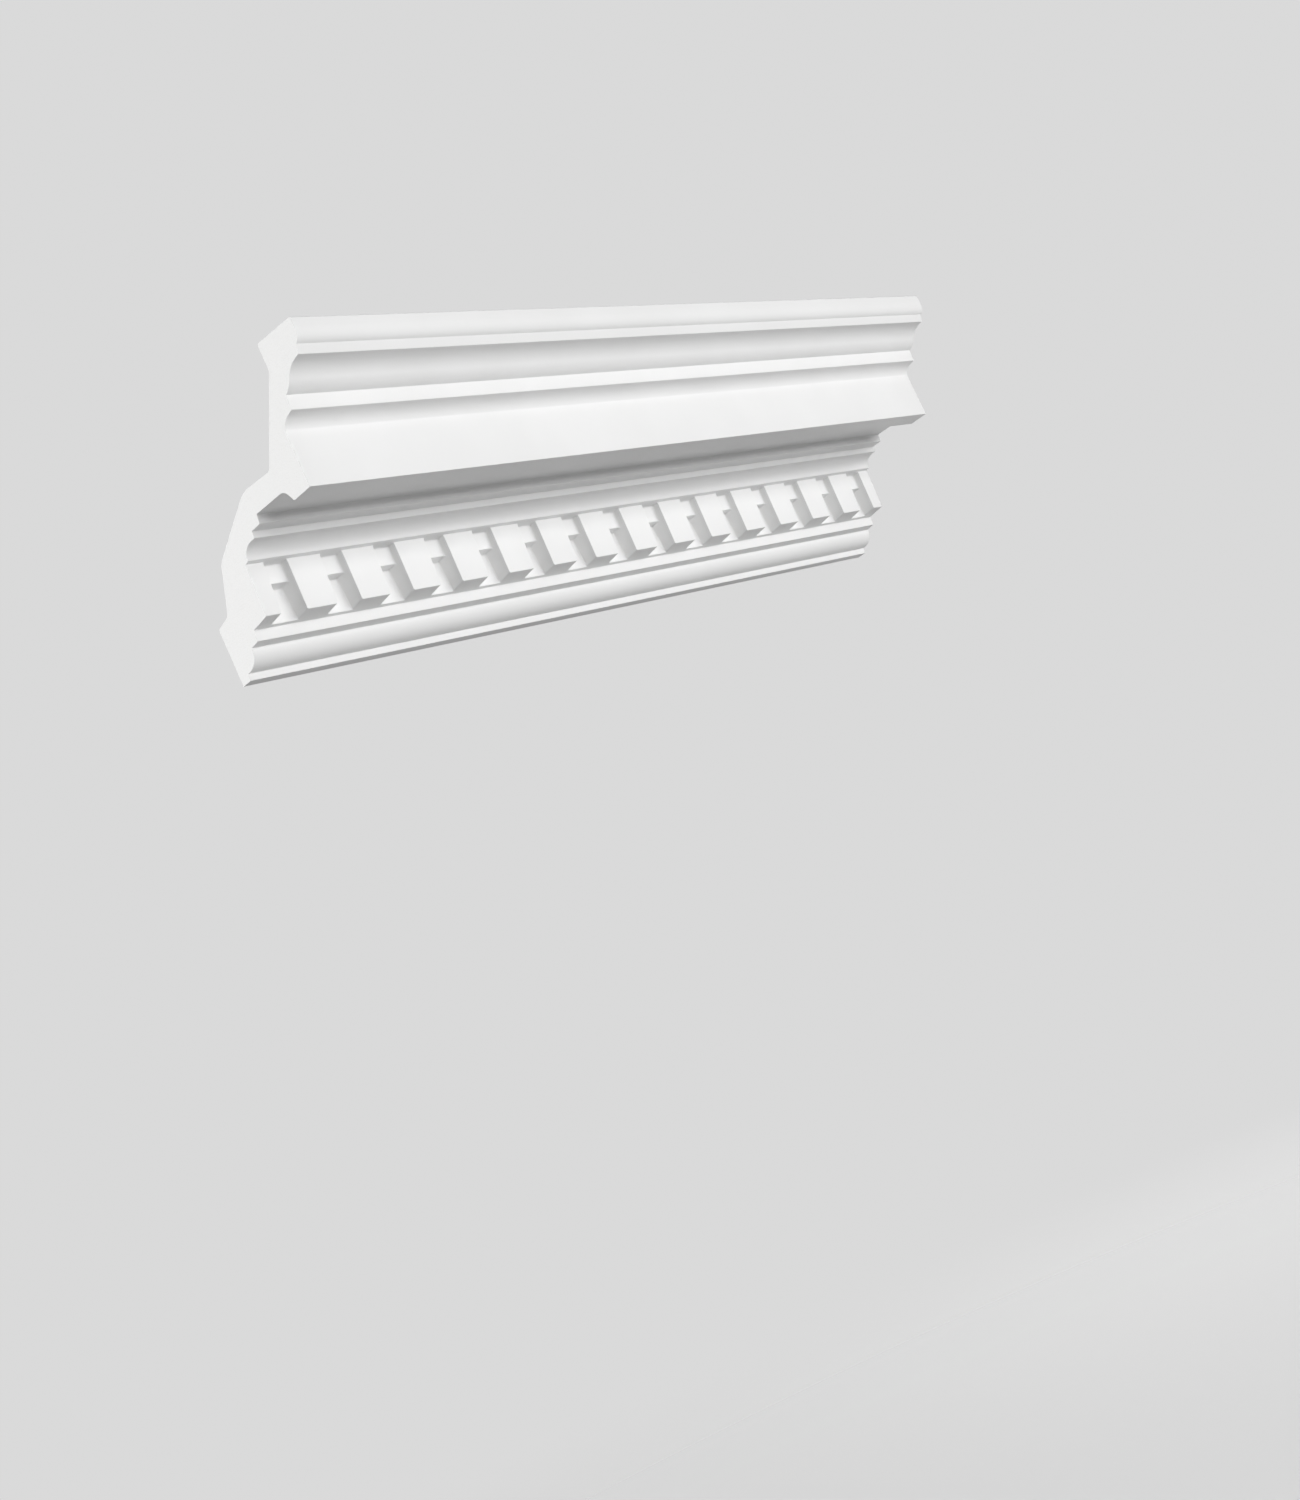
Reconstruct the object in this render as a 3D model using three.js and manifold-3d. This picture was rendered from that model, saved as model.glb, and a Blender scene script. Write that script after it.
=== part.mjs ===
// A length of dentil cornice: one light moulded piece that covers the corner between a wall and a
// ceiling. Its section is the same all along, apart from a row of square blocks, the dentils, with
// a thin bridge across the upper part of every gap between them. Both ends are cut square through
// the middle of a dentil, so the next length carries the row on.
//
// Millimetres: +X along the length, -Y out into the room, +Z up. The origin is the middle of the
// face that is fixed to the wall.

import * as THREE from 'three';
import { mergeVertices } from 'three/addons/utils/BufferGeometryUtils.js';
import Module from 'manifold-3d';

// The dentil row sets the length: sixty dentils fill a standard length of two metres
const STANDARD_LENGTH = 2000;
const DENTILS_IN_STANDARD_LENGTH = 60;
const PITCH = STANDARD_LENGTH / DENTILS_IN_STANDARD_LENGTH;
const PITCHES = 15;
const LENGTH = PITCHES * PITCH;

// A dentil is a little narrower at its foot than at its head, so that it leaves the mould
const DENTIL_FOOT_WIDTH = 0.552 * PITCH;
const DENTIL_HEAD_WIDTH = 0.594 * PITCH;

// In the section, "out" is the distance from the wall and "up" the height above the lower edge of
// the wall face. The members are named from the wall up to the ceiling, and "lean" is how far a
// narrow face's upper edge stands out past its lower one.
const HEIGHT = 114.2;
const WALL_FACE_HEIGHT = 26.7;
const toe = { out: 5.3, bottom: 0.4, top: 3.5, lean: 0.5 };
const ovolo = { out: 13.8, top: 11.7 };
const lowerFillet = { out: 18.6, bottom: 12.6, top: 17.5, lean: 0.5 };
const dentil = { foot: 29.2, head: 30.2, bottom: 19.3, top: 42.6 };
const gap = { foot: 21.2, head: 20.2 };
const bridge = { out: 25.6, lean: 0.5, bottom: 34.0, bottomAtBack: 33.6 };
const ledge = { out: 32.4, bottom: 43.2 };
const cavetto = { rise: 5.6, reach: 7.1, top: 49.4 };
const bedFillet = { out: 41.1, top: 52.6, lean: 0.1 };
const deepFillet = { out: 47.1, bottom: 53.0, top: 57.2, lean: 0.6 };
const soffit = { end: 64.3, up: 57.8 };
const drip = { radius: 4.6, flank: THREE.MathUtils.degToRad(25), out: 70.3, tip: 52.0 };
const corona = { out: 81.3, bottom: 52.6, top: 77.6 };
const neck = { out: 82.6, up: 81.9 };
const middleFillet = { out: 89.1, bottom: 83.0, top: 89.4, lean: 0.5 };
const cyma = { round: [92.4, 90.5], turn: [94.6, 93.8], hollow: [97.5, 98.6] };
const upperFillet = { out: 104.4, bottom: 99.6, top: 103.5, lean: 1.5 };
const crown = { belly: [107.5, 104.4], brow: [108.7, 106.6], crest: [108.7, 110.2], edge: [108.5, 113.8] };
const CROWN_EASE = 0.4;

// The back is hollow, which saves material and clears the corner behind
const CEILING_FACE_BACK = 86.4;
const back = {
  lipBottom: 102.0,
  shelf: [64.0, 68.4],
  shoulder: [45.5, 68.4],
  shoulderEase: 4.5,
  knee: [17.2, 49.5],
  heel: [8.1, 28.9],
};

// A dentil's own solid reaches this far into the body, so that the two join into one
const ROOT = 1.5;
const CURVE_STEPS = 6;

const MOULDING_WHITE = 0xf2f2f0;

// The underside of the dentils is one slope that starts at the top of the lower fillet
function dentilUnderside(out) {
  const start = lowerFillet.out + lowerFillet.lean;
  const slope = (dentil.bottom - lowerFillet.top) / (dentil.foot - start);
  return lowerFillet.top + slope * (out - start);
}

// A narrow upright face that starts where the line from the last member meets it
function drawFillet(section, { out, bottom, top, lean }) {
  section.lineTo(out, bottom);
  section.lineTo(out + lean, top);
}

// The foot of the moulding: a toe, a rounded ovolo and the fillet below the dentils
function drawFoot(section) {
  drawFillet(section, toe);
  const start = toe.out + toe.lean;
  section.absellipse(start, ovolo.top, ovolo.out - start, ovolo.top - toe.top, -Math.PI / 2, 0, false);
  drawFillet(section, lowerFillet);
}

// The dentil course as it is in a gap: the wall of the gap, the bridge and the ledge above
function drawGap(section) {
  section.lineTo(gap.foot, dentilUnderside(gap.foot));
  section.lineTo(gap.head, bridge.bottomAtBack);
  drawFillet(section, { ...bridge, top: dentil.top });
  section.lineTo(dentil.head, dentil.top);
  section.lineTo(ledge.out, ledge.bottom);
}

// The bed mouldings: a hollow cavetto, two fillets and the soffit with its drip
function drawBed(section) {
  const spring = cavetto.top - cavetto.rise;
  const end = ledge.out + cavetto.reach;
  section.lineTo(ledge.out, spring);
  section.absellipse(end, spring, cavetto.reach, cavetto.rise, Math.PI, Math.PI / 2, true);
  drawFillet(section, { ...bedFillet, bottom: cavetto.top });
  drawFillet(section, deepFillet);
  section.lineTo(soffit.end, soffit.up);
  section.absarc(soffit.end, soffit.up - drip.radius, drip.radius, Math.PI / 2, drip.flank, true);
  section.lineTo(drip.out, drip.tip);
}

// The corona, the plain upright board in the middle, and the crown mouldings above it
function drawCrown(section) {
  section.lineTo(corona.out, corona.bottom);
  section.lineTo(corona.out, corona.top);
  section.quadraticCurveTo(neck.out, neck.up, middleFillet.out, middleFillet.bottom);
  drawFillet(section, middleFillet);
  section.quadraticCurveTo(...cyma.round, ...cyma.turn);
  section.quadraticCurveTo(...cyma.hollow, upperFillet.out, upperFillet.bottom);
  drawFillet(section, upperFillet);
  section.bezierCurveTo(...crown.belly, ...crown.brow, ...crown.crest);
  section.lineTo(...crown.edge);
  section.lineTo(crown.edge[0] - CROWN_EASE, HEIGHT);
}

// The hollow back, from the ceiling face down to the wall face
function drawBack(section) {
  section.lineTo(CEILING_FACE_BACK, HEIGHT);
  section.lineTo(CEILING_FACE_BACK, back.lipBottom);
  section.lineTo(...back.shelf);
  const shoulder = new THREE.Vector2(...back.shoulder);
  const knee = new THREE.Vector2(...back.knee);
  const leave = knee.clone().sub(shoulder).setLength(back.shoulderEase).add(shoulder);
  section.lineTo(shoulder.x + back.shoulderEase, shoulder.y);
  section.quadraticCurveTo(shoulder.x, shoulder.y, leave.x, leave.y);
  section.lineTo(...back.knee);
  section.lineTo(...back.heel);
  section.lineTo(0, WALL_FACE_HEIGHT);
}

function bodySection() {
  const section = new THREE.Shape();
  section.moveTo(0, 0);
  drawFoot(section);
  drawGap(section);
  drawBed(section);
  drawCrown(section);
  drawBack(section);
  section.closePath();
  return section;
}

// A dentil in section, with its root inside the body behind and above it
function dentilSection() {
  const section = new THREE.Shape();
  section.moveTo(gap.foot, dentilUnderside(gap.foot));
  section.lineTo(dentil.foot, dentil.bottom);
  section.lineTo(dentil.head, dentil.top);
  section.lineTo(dentil.head, dentil.top + ROOT);
  section.lineTo(gap.head - ROOT, dentil.top + ROOT);
  section.lineTo(gap.foot - ROOT, dentilUnderside(gap.foot) + ROOT);
  section.closePath();
  return section;
}

const wasm = await Module();
wasm.setup();

// How wide a dentil is at a height, as a share of its width at the head
function dentilShare(up) {
  const rise = (up - dentil.bottom) / (dentil.top - dentil.bottom);
  const narrowest = DENTIL_FOOT_WIDTH / DENTIL_HEAD_WIDTH;
  return THREE.MathUtils.lerp(narrowest, 1, rise);
}

// Draws the sides of a dentil in towards its middle, so that they stand at their true slope
function taper(geometry, middle) {
  const { position } = geometry.attributes;
  for (let i = 0; i < position.count; i += 1) {
    const up = position.getZ(i) + WALL_FACE_HEIGHT / 2;
    position.setX(i, middle + (position.getX(i) - middle) * dentilShare(up));
  }
}

// A section run along X between two places. The section's own axes become out (-Y) and up (+Z),
// and the run then goes towards -X, so it is moved to its far place.
function run(section, from, to) {
  const settings = { depth: to - from, bevelEnabled: false, curveSegments: CURVE_STEPS };
  const geometry = new THREE.ExtrudeGeometry(section, settings);
  const out = new THREE.Vector3(0, -1, 0);
  const up = new THREE.Vector3(0, 0, 1);
  const along = new THREE.Vector3(-1, 0, 0);
  geometry.applyMatrix4(new THREE.Matrix4().makeBasis(out, up, along));
  geometry.translate(to, 0, -WALL_FACE_HEIGHT / 2);
  geometry.deleteAttribute('normal');
  geometry.deleteAttribute('uv');
  return geometry;
}

// The same shape as a solid to join
function toSolid(geometry) {
  const merged = mergeVertices(geometry);
  const vertProperties = new Float32Array(merged.attributes.position.array);
  const triVerts = new Uint32Array(merged.index.array);
  return new wasm.Manifold(new wasm.Mesh({ numProp: 3, vertProperties, triVerts }));
}

// The body with every dentil joined to it. The first and the last dentil are cut in half.
function mouldingSolid() {
  const end = LENGTH / 2;
  let solid = toSolid(run(bodySection(), -end, end));
  for (let place = 0; place <= PITCHES; place += 1) {
    const middle = place * PITCH - end;
    const from = Math.max(middle - DENTIL_HEAD_WIDTH / 2, -end);
    const to = Math.min(middle + DENTIL_HEAD_WIDTH / 2, end);
    const block = run(dentilSection(), from, to);
    taper(block, middle);
    solid = solid.add(toSolid(block));
  }
  return solid;
}

function toGeometry(solid) {
  const { vertProperties, triVerts } = solid.getMesh();
  const geometry = new THREE.BufferGeometry();
  geometry.setAttribute('position', new THREE.BufferAttribute(vertProperties, 3));
  geometry.setIndex(new THREE.BufferAttribute(triVerts, 1));
  const faceted = geometry.toNonIndexed();
  faceted.computeVertexNormals();
  return faceted;
}

const primedFoam = new THREE.MeshStandardMaterial({
  color: MOULDING_WHITE,
  roughness: 0.75,
  metalness: 0,
});

const moulding = new THREE.Mesh(toGeometry(mouldingSolid()), primedFoam);
moulding.name = 'cornice_moulding';

const cornice = new THREE.Group();
cornice.add(moulding);

export default cornice;
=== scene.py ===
import math

import bmesh
import bpy
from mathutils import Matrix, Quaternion, Vector
from mathutils.geometry import interpolate_bezier


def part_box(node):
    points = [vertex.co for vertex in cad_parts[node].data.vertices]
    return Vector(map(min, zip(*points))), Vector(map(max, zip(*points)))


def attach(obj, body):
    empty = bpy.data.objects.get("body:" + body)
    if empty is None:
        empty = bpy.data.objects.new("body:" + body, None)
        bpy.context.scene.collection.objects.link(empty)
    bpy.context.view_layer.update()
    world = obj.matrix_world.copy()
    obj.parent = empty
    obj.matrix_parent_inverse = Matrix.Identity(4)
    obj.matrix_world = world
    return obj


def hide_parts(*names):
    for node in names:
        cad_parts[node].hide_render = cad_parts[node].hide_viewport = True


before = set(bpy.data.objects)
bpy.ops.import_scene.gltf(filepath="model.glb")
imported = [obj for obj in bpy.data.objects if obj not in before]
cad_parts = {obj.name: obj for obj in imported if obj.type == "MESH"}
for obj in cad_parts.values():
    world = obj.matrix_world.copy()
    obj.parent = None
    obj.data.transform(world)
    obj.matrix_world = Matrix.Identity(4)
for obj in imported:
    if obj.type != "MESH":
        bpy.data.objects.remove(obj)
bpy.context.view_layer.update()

# The moulding. One light length of hard white foam, cast against a polished mould that gives it
# sharp arrises and a smooth skin, sprayed with a matte primer, and sawn square at both ends. It is
# glued by its lower strip to the wall and by its upper strip to the ceiling.
NODE = "cornice_moulding"
MM = 0.001
low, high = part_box(NODE)
LENGTH = high.x - low.x
HEIGHT = (high.z - low.z) / MM
BAYS = 15
PITCH = LENGTH / BAYS

# A dentil is a little narrower at its foot than at its head, so that it leaves the mould
DENTIL_FOOT_HALF = 0.276 * PITCH
DENTIL_HEAD_HALF = 0.297 * PITCH
GAP_HALF = PITCH / 2 - DENTIL_HEAD_HALF

# The section in millimetres, as places (out from the wall, up from the foot of the wall face).
# A fillet has its lower and its upper arris.
GAP_FOOT = (21.2, 17.87)
BRIDGE_BACK = (20.2, 33.6)
BRIDGE_LIP = (25.6, 34.0)
BRIDGE_HEAD = (26.1, 42.6)
DENTIL_CORNER = (29.2, 19.3)
DENTIL_HEAD = (30.2, 42.6)
LEDGE = [(32.4, 43.2), (32.4, 43.8)]
CAVETTO_CORNER = (32.4, 49.4)
CAVETTO_END = (39.5, 49.4)
BED_FILLET = [(41.1, 49.4), (41.2, 52.6)]
DEEP_FILLET = [(47.1, 53.0), (47.7, 57.2)]
SOFFIT_END = (64.3, 57.8)
DRIP_CORNER = (67.2, 57.8)
DRIP_FLANK = (68.5, 55.1)
DRIP_TIP = (70.3, 52.0)
CORONA = [(81.3, 52.6), (81.3, 77.6)]
COVE_CORNER = (82.6, 81.9)
MIDDLE_FILLET = [(89.1, 83.0), (89.6, 89.4)]
CYMA_ROUND = (92.4, 90.5)
CYMA_TURN = (94.6, 93.8)
CYMA_HOLLOW = (97.5, 98.6)
UPPER_FILLET = [(104.4, 99.6), (105.9, 103.5)]
CROWN_BELLY = (107.5, 104.4)
CROWN_BROW = (108.7, 106.6)
CROWN_CREST = (108.7, 110.2)
CROWN_EDGE = [(108.5, 113.8), (108.1, HEIGHT)]
CEILING_LIP = [(86.4, HEIGHT), (86.4, 102.0)]
BACK_SHELF = [(64.0, 68.4), (50.0, 68.4)]
BACK_SHOULDER = (45.5, 68.4)
BACK_SLOPE = [(41.8, 65.9), (17.2, 49.5), (8.1, 28.9)]
WALL_FACE = [(0.0, 26.7), (0.0, 0.0)]
TOE = [(5.3, 0.4), (5.8, 3.5)]
OVOLO_CORNER = (13.8, 3.5)
OVOLO_END = (13.8, 11.7)
LOWER_FILLET = [(18.6, 12.6), (19.1, 17.5)]

# How far each kind of arris is rounded. The widest is that of the unseen back.
ARRIS = 0.2 * MM
BED_ARRIS = 0.4 * MM
DENTIL_ARRIS = 0.35 * MM
DENTIL_CORNER_ROUND = 0.9 * MM
GAP_HOLLOW = 0.8 * MM
BACK_ARRIS = 1.0 * MM
SHARP_CREASE = math.radians(20)
WELD = 0.002 * MM

# How far a curve's handles reach towards the corner that it rounds off
ELLIPSE = 0.5523
SOFT = 2 / 3
DRIP_HUG = 0.61
CURVE_STEPS = 14


def place(where):
    """A place in the section as a point in the plane x = 0."""
    out, up = where
    return Vector((0, -out * MM, low.z + up * MM))


class Pen:
    """Draws a stretch of the section as a wire, by extruding its last point from place to place.

    Every point keeps how far the arris that runs along the length from it will be rounded.
    """

    def __init__(self, bm, start):
        self.bm = bm
        self.arris = ARRIS
        self.edges = []
        self.tip = bm.verts.new(place(start))
        self.mark()

    def mark(self):
        self.tip[self.bm.verts.layers.float["arris"]] = self.arris

    def step(self, point):
        grown = bmesh.ops.extrude_vert_indiv(self.bm, verts=[self.tip])
        self.tip = grown["verts"][0]
        self.tip.co = point
        self.mark()
        self.edges += grown["edges"]

    def line(self, *places):
        for where in places:
            self.step(place(where))

    def curve(self, first_handle, second_handle, end):
        handles = [first_handle, second_handle]
        points = interpolate_bezier(self.tip.co.copy(), *handles, end, CURVE_STEPS + 1)
        for point in points[1:]:
            self.step(point)

    def round(self, corner, end, hug):
        """A curve from the tip to end that rounds off the corner between them."""
        turn, finish = place(corner), place(end)
        self.curve(self.tip.co.lerp(turn, hug), finish.lerp(turn, hug), finish)


def draw_bed(pen):
    """From the head of a dentil over the ledge, the cavetto and two fillets to the drip."""
    pen.line(*LEDGE)
    pen.round(CAVETTO_CORNER, CAVETTO_END, ELLIPSE)
    pen.arris = BED_ARRIS
    pen.line(*BED_FILLET, *DEEP_FILLET)
    pen.arris = ARRIS
    pen.line(SOFFIT_END)
    pen.round(DRIP_CORNER, DRIP_FLANK, DRIP_HUG)
    pen.line(DRIP_TIP)


def draw_crown(pen):
    """The corona, the plain board in the middle, and the mouldings over it up to the ceiling."""
    pen.line(*CORONA)
    pen.round(COVE_CORNER, MIDDLE_FILLET[0], SOFT)
    pen.line(MIDDLE_FILLET[1])
    pen.round(CYMA_ROUND, CYMA_TURN, SOFT)
    pen.round(CYMA_HOLLOW, UPPER_FILLET[0], SOFT)
    pen.line(UPPER_FILLET[1])
    pen.curve(place(CROWN_BELLY), place(CROWN_BROW), place(CROWN_CREST))
    pen.line(*CROWN_EDGE)


def draw_back(pen):
    """The hollow back, from the strip against the ceiling down to the strip against the wall."""
    pen.arris = BACK_ARRIS
    pen.line(*CEILING_LIP, *BACK_SHELF)
    pen.round(BACK_SHOULDER, BACK_SLOPE[0], SOFT)
    pen.line(*BACK_SLOPE[1:], WALL_FACE[0])


def draw_foot(pen):
    """The toe, the ovolo and the fillet under the dentils."""
    pen.arris = ARRIS
    pen.line(WALL_FACE[1], *TOE)
    pen.round(OVOLO_CORNER, OVOLO_END, ELLIPSE)
    pen.line(*LOWER_FILLET, GAP_FOOT)


def draw_gap(pen):
    """The wall of a gap and the bridge across its upper part."""
    pen.arris = GAP_HOLLOW
    pen.line(BRIDGE_BACK)
    pen.arris = DENTIL_ARRIS
    pen.line(BRIDGE_LIP)
    pen.arris = GAP_HOLLOW
    pen.line(BRIDGE_HEAD)
    pen.arris = ARRIS
    pen.line(DENTIL_HEAD)


def draw_dentil(pen):
    """The underside and the front of a dentil."""
    pen.arris = DENTIL_ARRIS
    pen.line(DENTIL_CORNER)
    pen.arris = ARRIS
    pen.line(DENTIL_HEAD)


def carried(bm, edges, distance):
    """Carries a wire along the length by extruding it, and returns the wire at the far place."""
    grown = bmesh.ops.extrude_edge_only(bm, edges=edges)["geom"]
    new = {item for item in grown if isinstance(item, bmesh.types.BMVert)}
    bmesh.ops.translate(bm, verts=list(new), vec=(distance, 0, 0))
    return [e for e in grown if isinstance(e, bmesh.types.BMEdge) and set(e.verts) <= new]


def closed(bm, along):
    """Closes the open rim that lies in one cross section, and returns the new faces."""
    rim = [
        e for e in bm.edges
        if e.is_boundary and all(abs(v.co.x - along) < WELD for v in e.verts)
    ]
    return bmesh.ops.contextual_create(bm, geom=rim)["faces"]


def lean_cheek(cheek):
    """Leans the side of a dentil, so that the dentil narrows towards its foot."""
    foot, head = place(DENTIL_CORNER).z, place(DENTIL_HEAD).z
    for vert in cheek.verts:
        share = (vert.co.z - foot) / (head - foot)
        half = DENTIL_FOOT_HALF + (DENTIL_HEAD_HALF - DENTIL_FOOT_HALF) * share
        vert.co.x = PITCH / 2 - half


def half_bay():
    """From the middle of a gap to the middle of the dentil beside it."""
    bm = bmesh.new()
    bm.verts.layers.float.new("arris")
    mouldings = Pen(bm, DENTIL_HEAD)
    draw_bed(mouldings)
    draw_crown(mouldings)
    draw_back(mouldings)
    draw_foot(mouldings)
    gap = Pen(bm, GAP_FOOT)
    draw_gap(gap)
    dentil = Pen(bm, GAP_FOOT)
    draw_dentil(dentil)
    dentil_verts = list({v for e in dentil.edges for v in e.verts})
    bmesh.ops.translate(bm, verts=dentil_verts, vec=(GAP_HALF, 0, 0))

    beside = carried(bm, mouldings.edges, GAP_HALF)
    carried(bm, beside, DENTIL_HEAD_HALF)
    carried(bm, gap.edges, GAP_HALF)
    carried(bm, dentil.edges, DENTIL_HEAD_HALF)
    bmesh.ops.remove_doubles(bm, verts=bm.verts, dist=WELD)
    lean_cheek(closed(bm, GAP_HALF)[0])
    return bm


def row_of_bays():
    """Every bay of the length, as an open tube with its ends still to be cut."""
    bm = half_bay()
    bmesh.ops.mirror(
        bm,
        geom=bm.verts[:] + bm.edges[:] + bm.faces[:],
        merge_dist=WELD,
        axis="X",
    )
    bay = bm.verts[:] + bm.edges[:] + bm.faces[:]
    for number in range(1, BAYS):
        copied = bmesh.ops.duplicate(bm, geom=bay)["geom"]
        verts = [item for item in copied if isinstance(item, bmesh.types.BMVert)]
        bmesh.ops.translate(bm, verts=verts, vec=(number * PITCH, 0, 0))
    bmesh.ops.translate(bm, verts=bm.verts, vec=(low.x + PITCH / 2, 0, 0))
    bmesh.ops.remove_doubles(bm, verts=bm.verts, dist=WELD)
    bmesh.ops.recalc_face_normals(bm, faces=bm.faces)
    return bm


def rounding(edge, arris):
    """How far an edge is rounded: by its place in the section, or by what it is on a dentil."""
    run = edge.verts[1].co - edge.verts[0].co
    if abs(run.x) > run.length / 2:
        return edge.verts[0][arris]
    if not edge.is_convex:
        return GAP_HOLLOW
    return DENTIL_ARRIS if abs(run.z) > abs(run.y) else DENTIL_CORNER_ROUND


def weigh_arrises(bm):
    """Says how much each sharp edge is rounded, as a share of the roundest."""
    arris = bm.verts.layers.float["arris"]
    weight = bm.edges.layers.float.new("bevel_weight_edge")
    for edge in bm.edges:
        if len(edge.link_faces) == 2 and edge.calc_face_angle() > SHARP_CREASE:
            edge[weight] = rounding(edge, arris) / BACK_ARRIS


def cut_ends(bm):
    """Closes both ends with flat faces of the second material, the sawn foam."""
    for end in (low.x, high.x):
        for face in closed(bm, end):
            face.smooth = False
            face.material_index = 1
    bmesh.ops.recalc_face_normals(bm, faces=bm.faces)


def moulding_mesh():
    bm = row_of_bays()
    for face in bm.faces:
        face.smooth = True
    weigh_arrises(bm)
    cut_ends(bm)
    mesh = bpy.data.meshes.new("cornice")
    bm.to_mesh(mesh)
    bm.free()
    return mesh


cornice = bpy.data.objects.new("cornice", moulding_mesh())
bpy.context.scene.collection.objects.link(cornice)

# The primer's faint clouds, the range of its roughness, and the foam's colour in and between cells
SKIN_DARK = (0.865, 0.865, 0.862)
SKIN_LIGHT = (0.885, 0.885, 0.883)
SKIN_ROUGHNESS = (0.52, 0.66)
CELL_MIDDLE = (0.84, 0.84, 0.83)
CELL_WALL = (0.88, 0.88, 0.875)
CELLS_PER_METRE = 1500

# Depths of the grain that the primer and the saw leave, in metres
DRAWN_DEPTH = 0.08 * MM
GRAIN_DEPTH = 0.06 * MM
TRACK_DEPTH = 0.05 * MM
CELL_DEPTH = 0.1 * MM


def new_material(name):
    """A material with its shader and the object's own coordinates ready to use."""
    made = bpy.data.materials.new(name)
    made.use_nodes = True
    nodes = made.node_tree.nodes
    shader = nodes["Principled BSDF"]
    where = nodes.new("ShaderNodeTexCoord").outputs["Object"]
    return made, nodes, made.node_tree.links, shader, where


def noise(nodes, links, where, scale, detail=2.0, stretch=(1, 1, 1)):
    mapping = nodes.new("ShaderNodeMapping")
    mapping.inputs["Scale"].default_value = stretch
    links.new(where, mapping.inputs["Vector"])
    texture = nodes.new("ShaderNodeTexNoise")
    texture.inputs["Scale"].default_value = scale
    texture.inputs["Detail"].default_value = detail
    links.new(mapping.outputs["Vector"], texture.inputs["Vector"])
    return texture.outputs["Fac"]


def ramp(nodes, links, source, dark, light, start=0.35, end=0.65):
    made = nodes.new("ShaderNodeValToRGB")
    made.color_ramp.elements[0].position = start
    made.color_ramp.elements[0].color = (*dark, 1)
    made.color_ramp.elements[1].position = end
    made.color_ramp.elements[1].color = (*light, 1)
    links.new(source, made.inputs["Fac"])
    return made.outputs["Color"]


def bump(nodes, links, height, distance, strength=0.3, under=None):
    made = nodes.new("ShaderNodeBump")
    made.inputs["Distance"].default_value = distance
    made.inputs["Strength"].default_value = strength
    links.new(height, made.inputs["Height"])
    if under is not None:
        links.new(under, made.inputs["Normal"])
    return made.outputs["Normal"]


def primed_skin():
    """Matte primer over a moulded skin: an even white with a very fine, slightly drawn grain."""
    made, nodes, links, shader, where = new_material("primed_skin")
    clouds = noise(nodes, links, where, scale=22, detail=3)
    colour = ramp(nodes, links, clouds, SKIN_DARK, SKIN_LIGHT)
    links.new(colour, shader.inputs["Base Color"])
    sheen = noise(nodes, links, where, scale=140)
    spread = nodes.new("ShaderNodeMapRange")
    spread.inputs["To Min"].default_value = SKIN_ROUGHNESS[0]
    spread.inputs["To Max"].default_value = SKIN_ROUGHNESS[1]
    links.new(sheen, spread.inputs["Value"])
    links.new(spread.outputs["Result"], shader.inputs["Roughness"])
    drawn = noise(nodes, links, where, scale=1, detail=1, stretch=(12, 500, 500))
    grain = noise(nodes, links, where, scale=1300)
    drawn_skin = bump(nodes, links, drawn, DRAWN_DEPTH, strength=0.25)
    skin = bump(nodes, links, grain, GRAIN_DEPTH, under=drawn_skin)
    links.new(skin, shader.inputs["Normal"])
    shader.inputs["Specular IOR Level"].default_value = 0.35
    return made


def sawn_foam():
    """Where the saw has opened the skin: fine closed cells, and the faint tracks of the blade."""
    made, nodes, links, shader, where = new_material("sawn_foam")
    cells = nodes.new("ShaderNodeTexVoronoi")
    cells.inputs["Scale"].default_value = CELLS_PER_METRE
    links.new(where, cells.inputs["Vector"])
    depth = cells.outputs["Distance"]
    colour = ramp(nodes, links, depth, CELL_MIDDLE, CELL_WALL, start=0.0, end=0.5)
    links.new(colour, shader.inputs["Base Color"])
    tracks = nodes.new("ShaderNodeTexWave")
    tracks.bands_direction = "Z"
    tracks.inputs["Scale"].default_value = 260
    tracks.inputs["Distortion"].default_value = 2.5
    links.new(where, tracks.inputs["Vector"])
    tracked = bump(nodes, links, tracks.outputs["Fac"], TRACK_DEPTH)
    opened = bump(nodes, links, depth, CELL_DEPTH, under=tracked)
    links.new(opened, shader.inputs["Normal"])
    shader.inputs["Roughness"].default_value = 0.85
    shader.inputs["Specular IOR Level"].default_value = 0.2
    return made


cornice.data.materials.append(primed_skin())
cornice.data.materials.append(sawn_foam())
arrises = cornice.modifiers.new("arrises", "BEVEL")
arrises.affect = "EDGES"
arrises.limit_method = "WEIGHT"
arrises.width = BACK_ARRIS
arrises.segments = 2
arrises.profile = 0.5
arrises.material = -1
weighted = cornice.modifiers.new("even_faces", "WEIGHTED_NORMAL")
weighted.keep_sharp = True
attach(cornice, "root")
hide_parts(NODE)

# The stage. A pale floor well below, which fades into a plain backdrop all round, under a tent of
# soft lamps: broad ones in front and below, one behind each end and one over the back.
BACKDROP_GREY = (0.70, 0.70, 0.70, 1)
BACKDROP_RADIUS = 9
FLOOR_GREY = (0.70, 0.70, 0.70, 1)
FLOOR_DEPTH = -0.6
FLOOR_RADIUS = 1.6
FADE_START = 0.2 * FLOOR_RADIUS
ROOM_LIGHT = 0.04
LAMP_DISTANCE = 2.4
LOW_LAMP_DISTANCE = 1.5


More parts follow.
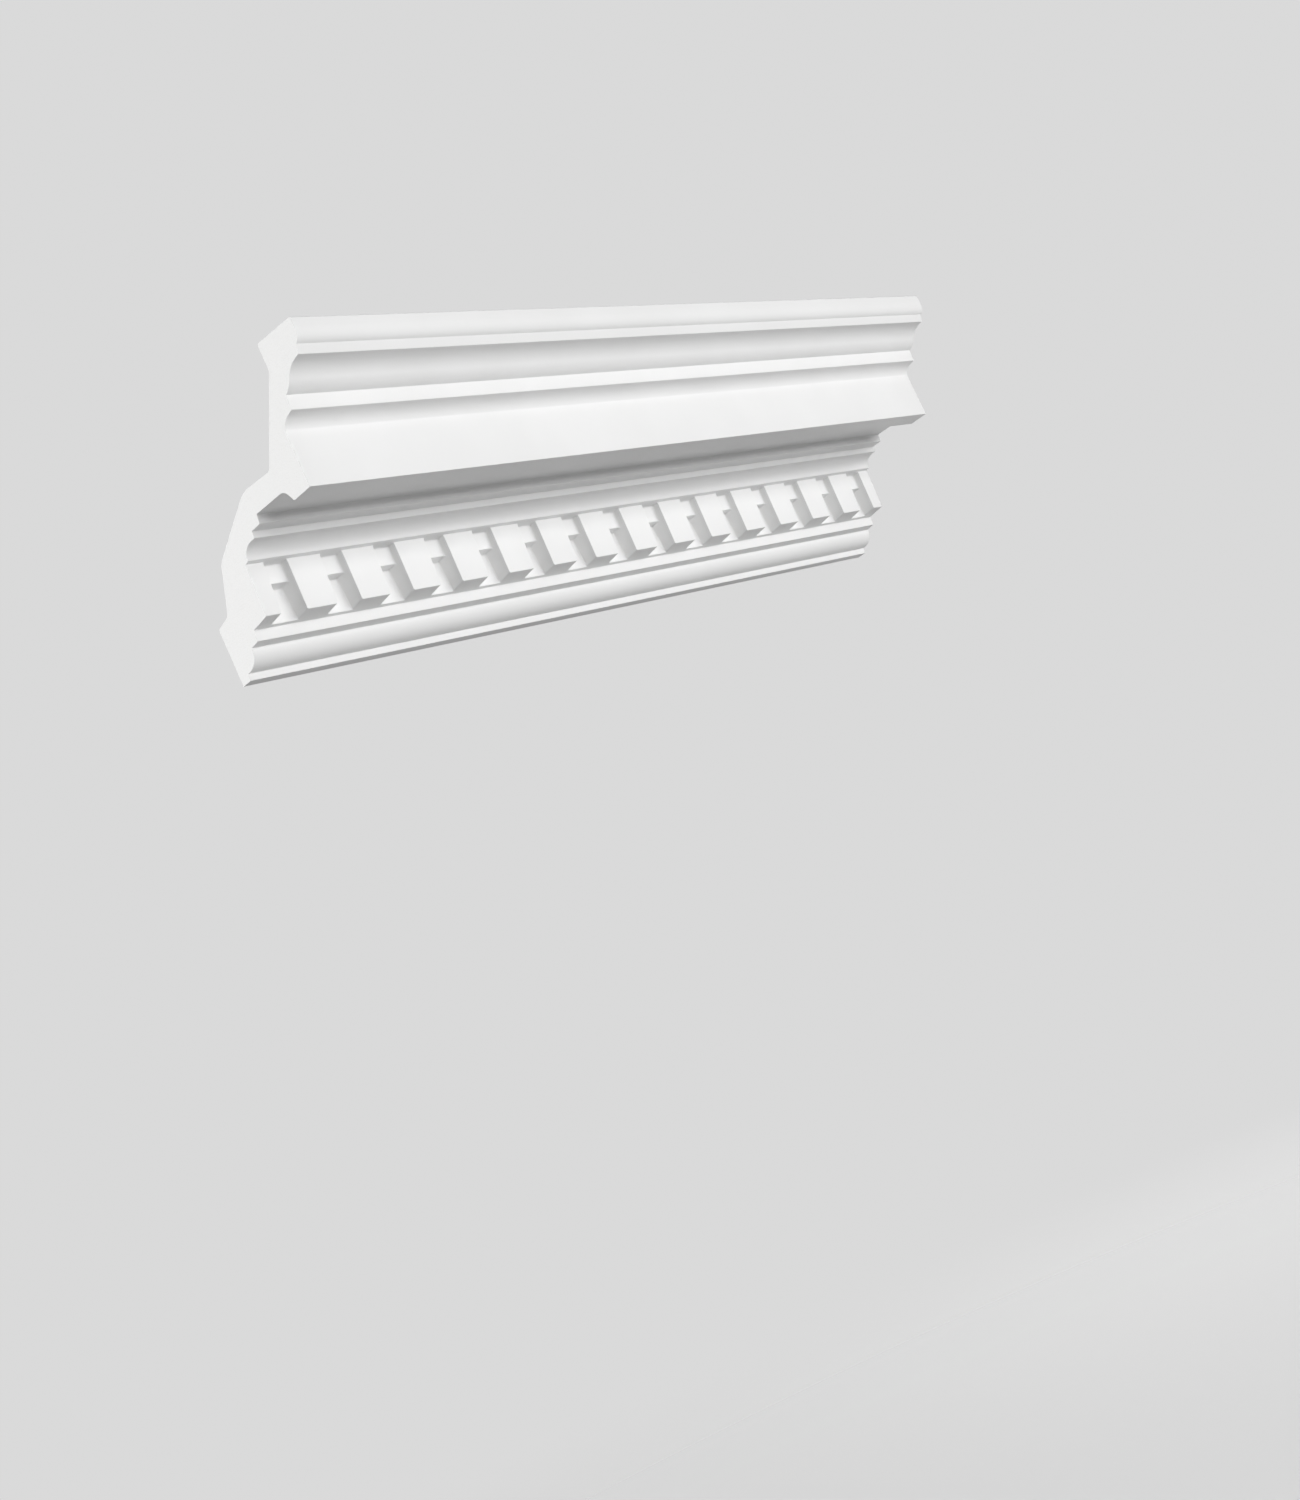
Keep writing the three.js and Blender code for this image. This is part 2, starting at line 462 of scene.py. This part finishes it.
def glowing_backdrop():
    """An even tone that neither takes nor gives light."""
    made = bpy.data.materials.new("backdrop_paper")
    made.use_nodes = True
    nodes = made.node_tree.nodes
    nodes.clear()
    glow = nodes.new("ShaderNodeEmission")
    glow.inputs["Color"].default_value = BACKDROP_GREY
    surface = nodes.new("ShaderNodeOutputMaterial").inputs["Surface"]
    made.node_tree.links.new(glow.outputs["Emission"], surface)
    return made


def faded_floor():
    """Matte paper that fades out towards its edge."""
    made, nodes, links, shader, where = new_material("floor_paper")
    shader.inputs["Base Color"].default_value = FLOOR_GREY
    shader.inputs["Roughness"].default_value = 0.9
    distance = nodes.new("ShaderNodeVectorMath")
    distance.operation = "LENGTH"
    links.new(where, distance.inputs[0])
    fade = nodes.new("ShaderNodeMapRange")
    fade.interpolation_type = "SMOOTHSTEP"
    fade.inputs["From Min"].default_value = FADE_START
    fade.inputs["From Max"].default_value = FLOOR_RADIUS
    fade.inputs["To Min"].default_value = 1
    fade.inputs["To Max"].default_value = 0
    links.new(distance.outputs["Value"], fade.inputs["Value"])
    links.new(fade.outputs["Result"], shader.inputs["Alpha"])
    return made


def stage_piece(name, bm, material):
    """A part of the stage that only the camera sees."""
    mesh = bpy.data.meshes.new(name)
    bm.to_mesh(mesh)
    bm.free()
    made = bpy.data.objects.new(name, mesh)
    bpy.context.scene.collection.objects.link(made)
    made.data.materials.append(material)
    for ray in ("visible_diffuse", "visible_glossy", "visible_shadow", "visible_transmission"):
        setattr(made, ray, False)
    return made


dome = bmesh.new()
bmesh.ops.create_icosphere(dome, subdivisions=4, radius=BACKDROP_RADIUS)
bmesh.ops.reverse_faces(dome, faces=dome.faces)
stage_piece("backdrop", dome, glowing_backdrop())

disc = bmesh.new()
bmesh.ops.create_circle(disc, cap_ends=True, segments=96, radius=FLOOR_RADIUS)
floor = stage_piece("floor", disc, faded_floor())
floor.location.z = FLOOR_DEPTH

world = bpy.data.worlds.new("studio")
bpy.context.scene.world = world
world.use_nodes = True
world.node_tree.nodes["Background"].inputs["Color"].default_value = (1, 1, 1, 1)
world.node_tree.nodes["Background"].inputs["Strength"].default_value = ROOM_LIGHT


def softbox(name, towards, size, power, distance=LAMP_DISTANCE):
    """A soft lamp in a direction from the moulding, and aimed at its middle."""
    lamp = bpy.data.lights.new(name, "AREA")
    lamp.shape = "RECTANGLE"
    lamp.size, lamp.size_y = size
    lamp.energy = power
    made = bpy.data.objects.new(name, lamp)
    bpy.context.scene.collection.objects.link(made)
    aim = Vector(towards).normalized()
    middle = (low + high) / 2
    made.location = middle + aim * distance
    made.rotation_mode = "QUATERNION"
    made.rotation_quaternion = (-aim).to_track_quat("-Z", "Y")
    made.visible_camera = False


softbox("front", (0.08, -1.0, 0.08), size=(3.4, 1.2), power=65)
softbox("below", (0.0, 0.0, -1.0), size=(5.0, 5.0), power=26, distance=LOW_LAMP_DISTANCE)
softbox("left_end", (-1.0, 0.3, 0.08), size=(1.2, 1.2), power=42)
softbox("right_end", (1.0, 0.3, 0.08), size=(1.2, 1.2), power=32)
softbox("above_back", (0.0, 0.6, 0.8), size=(1.6, 1.2), power=32)

# The camera. It stands off the left end, a little below the moulding and rolled, as it was when
# the photo was taken.
CAMERA_PLACE = Vector((-0.8948, -0.6799, -0.2092))
LOOK_AZIMUTH = math.radians(52.35)
LOOK_ELEVATION = math.radians(6.17)
ROLL = math.radians(24.56)
LENS = 53.71
SENSOR_WIDTH = 36

camera_data = bpy.data.cameras.new("camera")
camera_data.lens = LENS
camera_data.sensor_width = SENSOR_WIDTH
camera = bpy.data.objects.new("camera", camera_data)
bpy.context.scene.collection.objects.link(camera)
camera.location = CAMERA_PLACE
ahead = Vector((
    math.sin(LOOK_AZIMUTH) * math.cos(LOOK_ELEVATION),
    math.cos(LOOK_AZIMUTH) * math.cos(LOOK_ELEVATION),
    math.sin(LOOK_ELEVATION),
))
camera.rotation_mode = "QUATERNION"
camera.rotation_quaternion = ahead.to_track_quat("-Z", "Y") @ Quaternion((0, 0, 1), -ROLL)
bpy.context.scene.camera = camera
bpy.context.scene.view_settings.view_transform = "Standard"
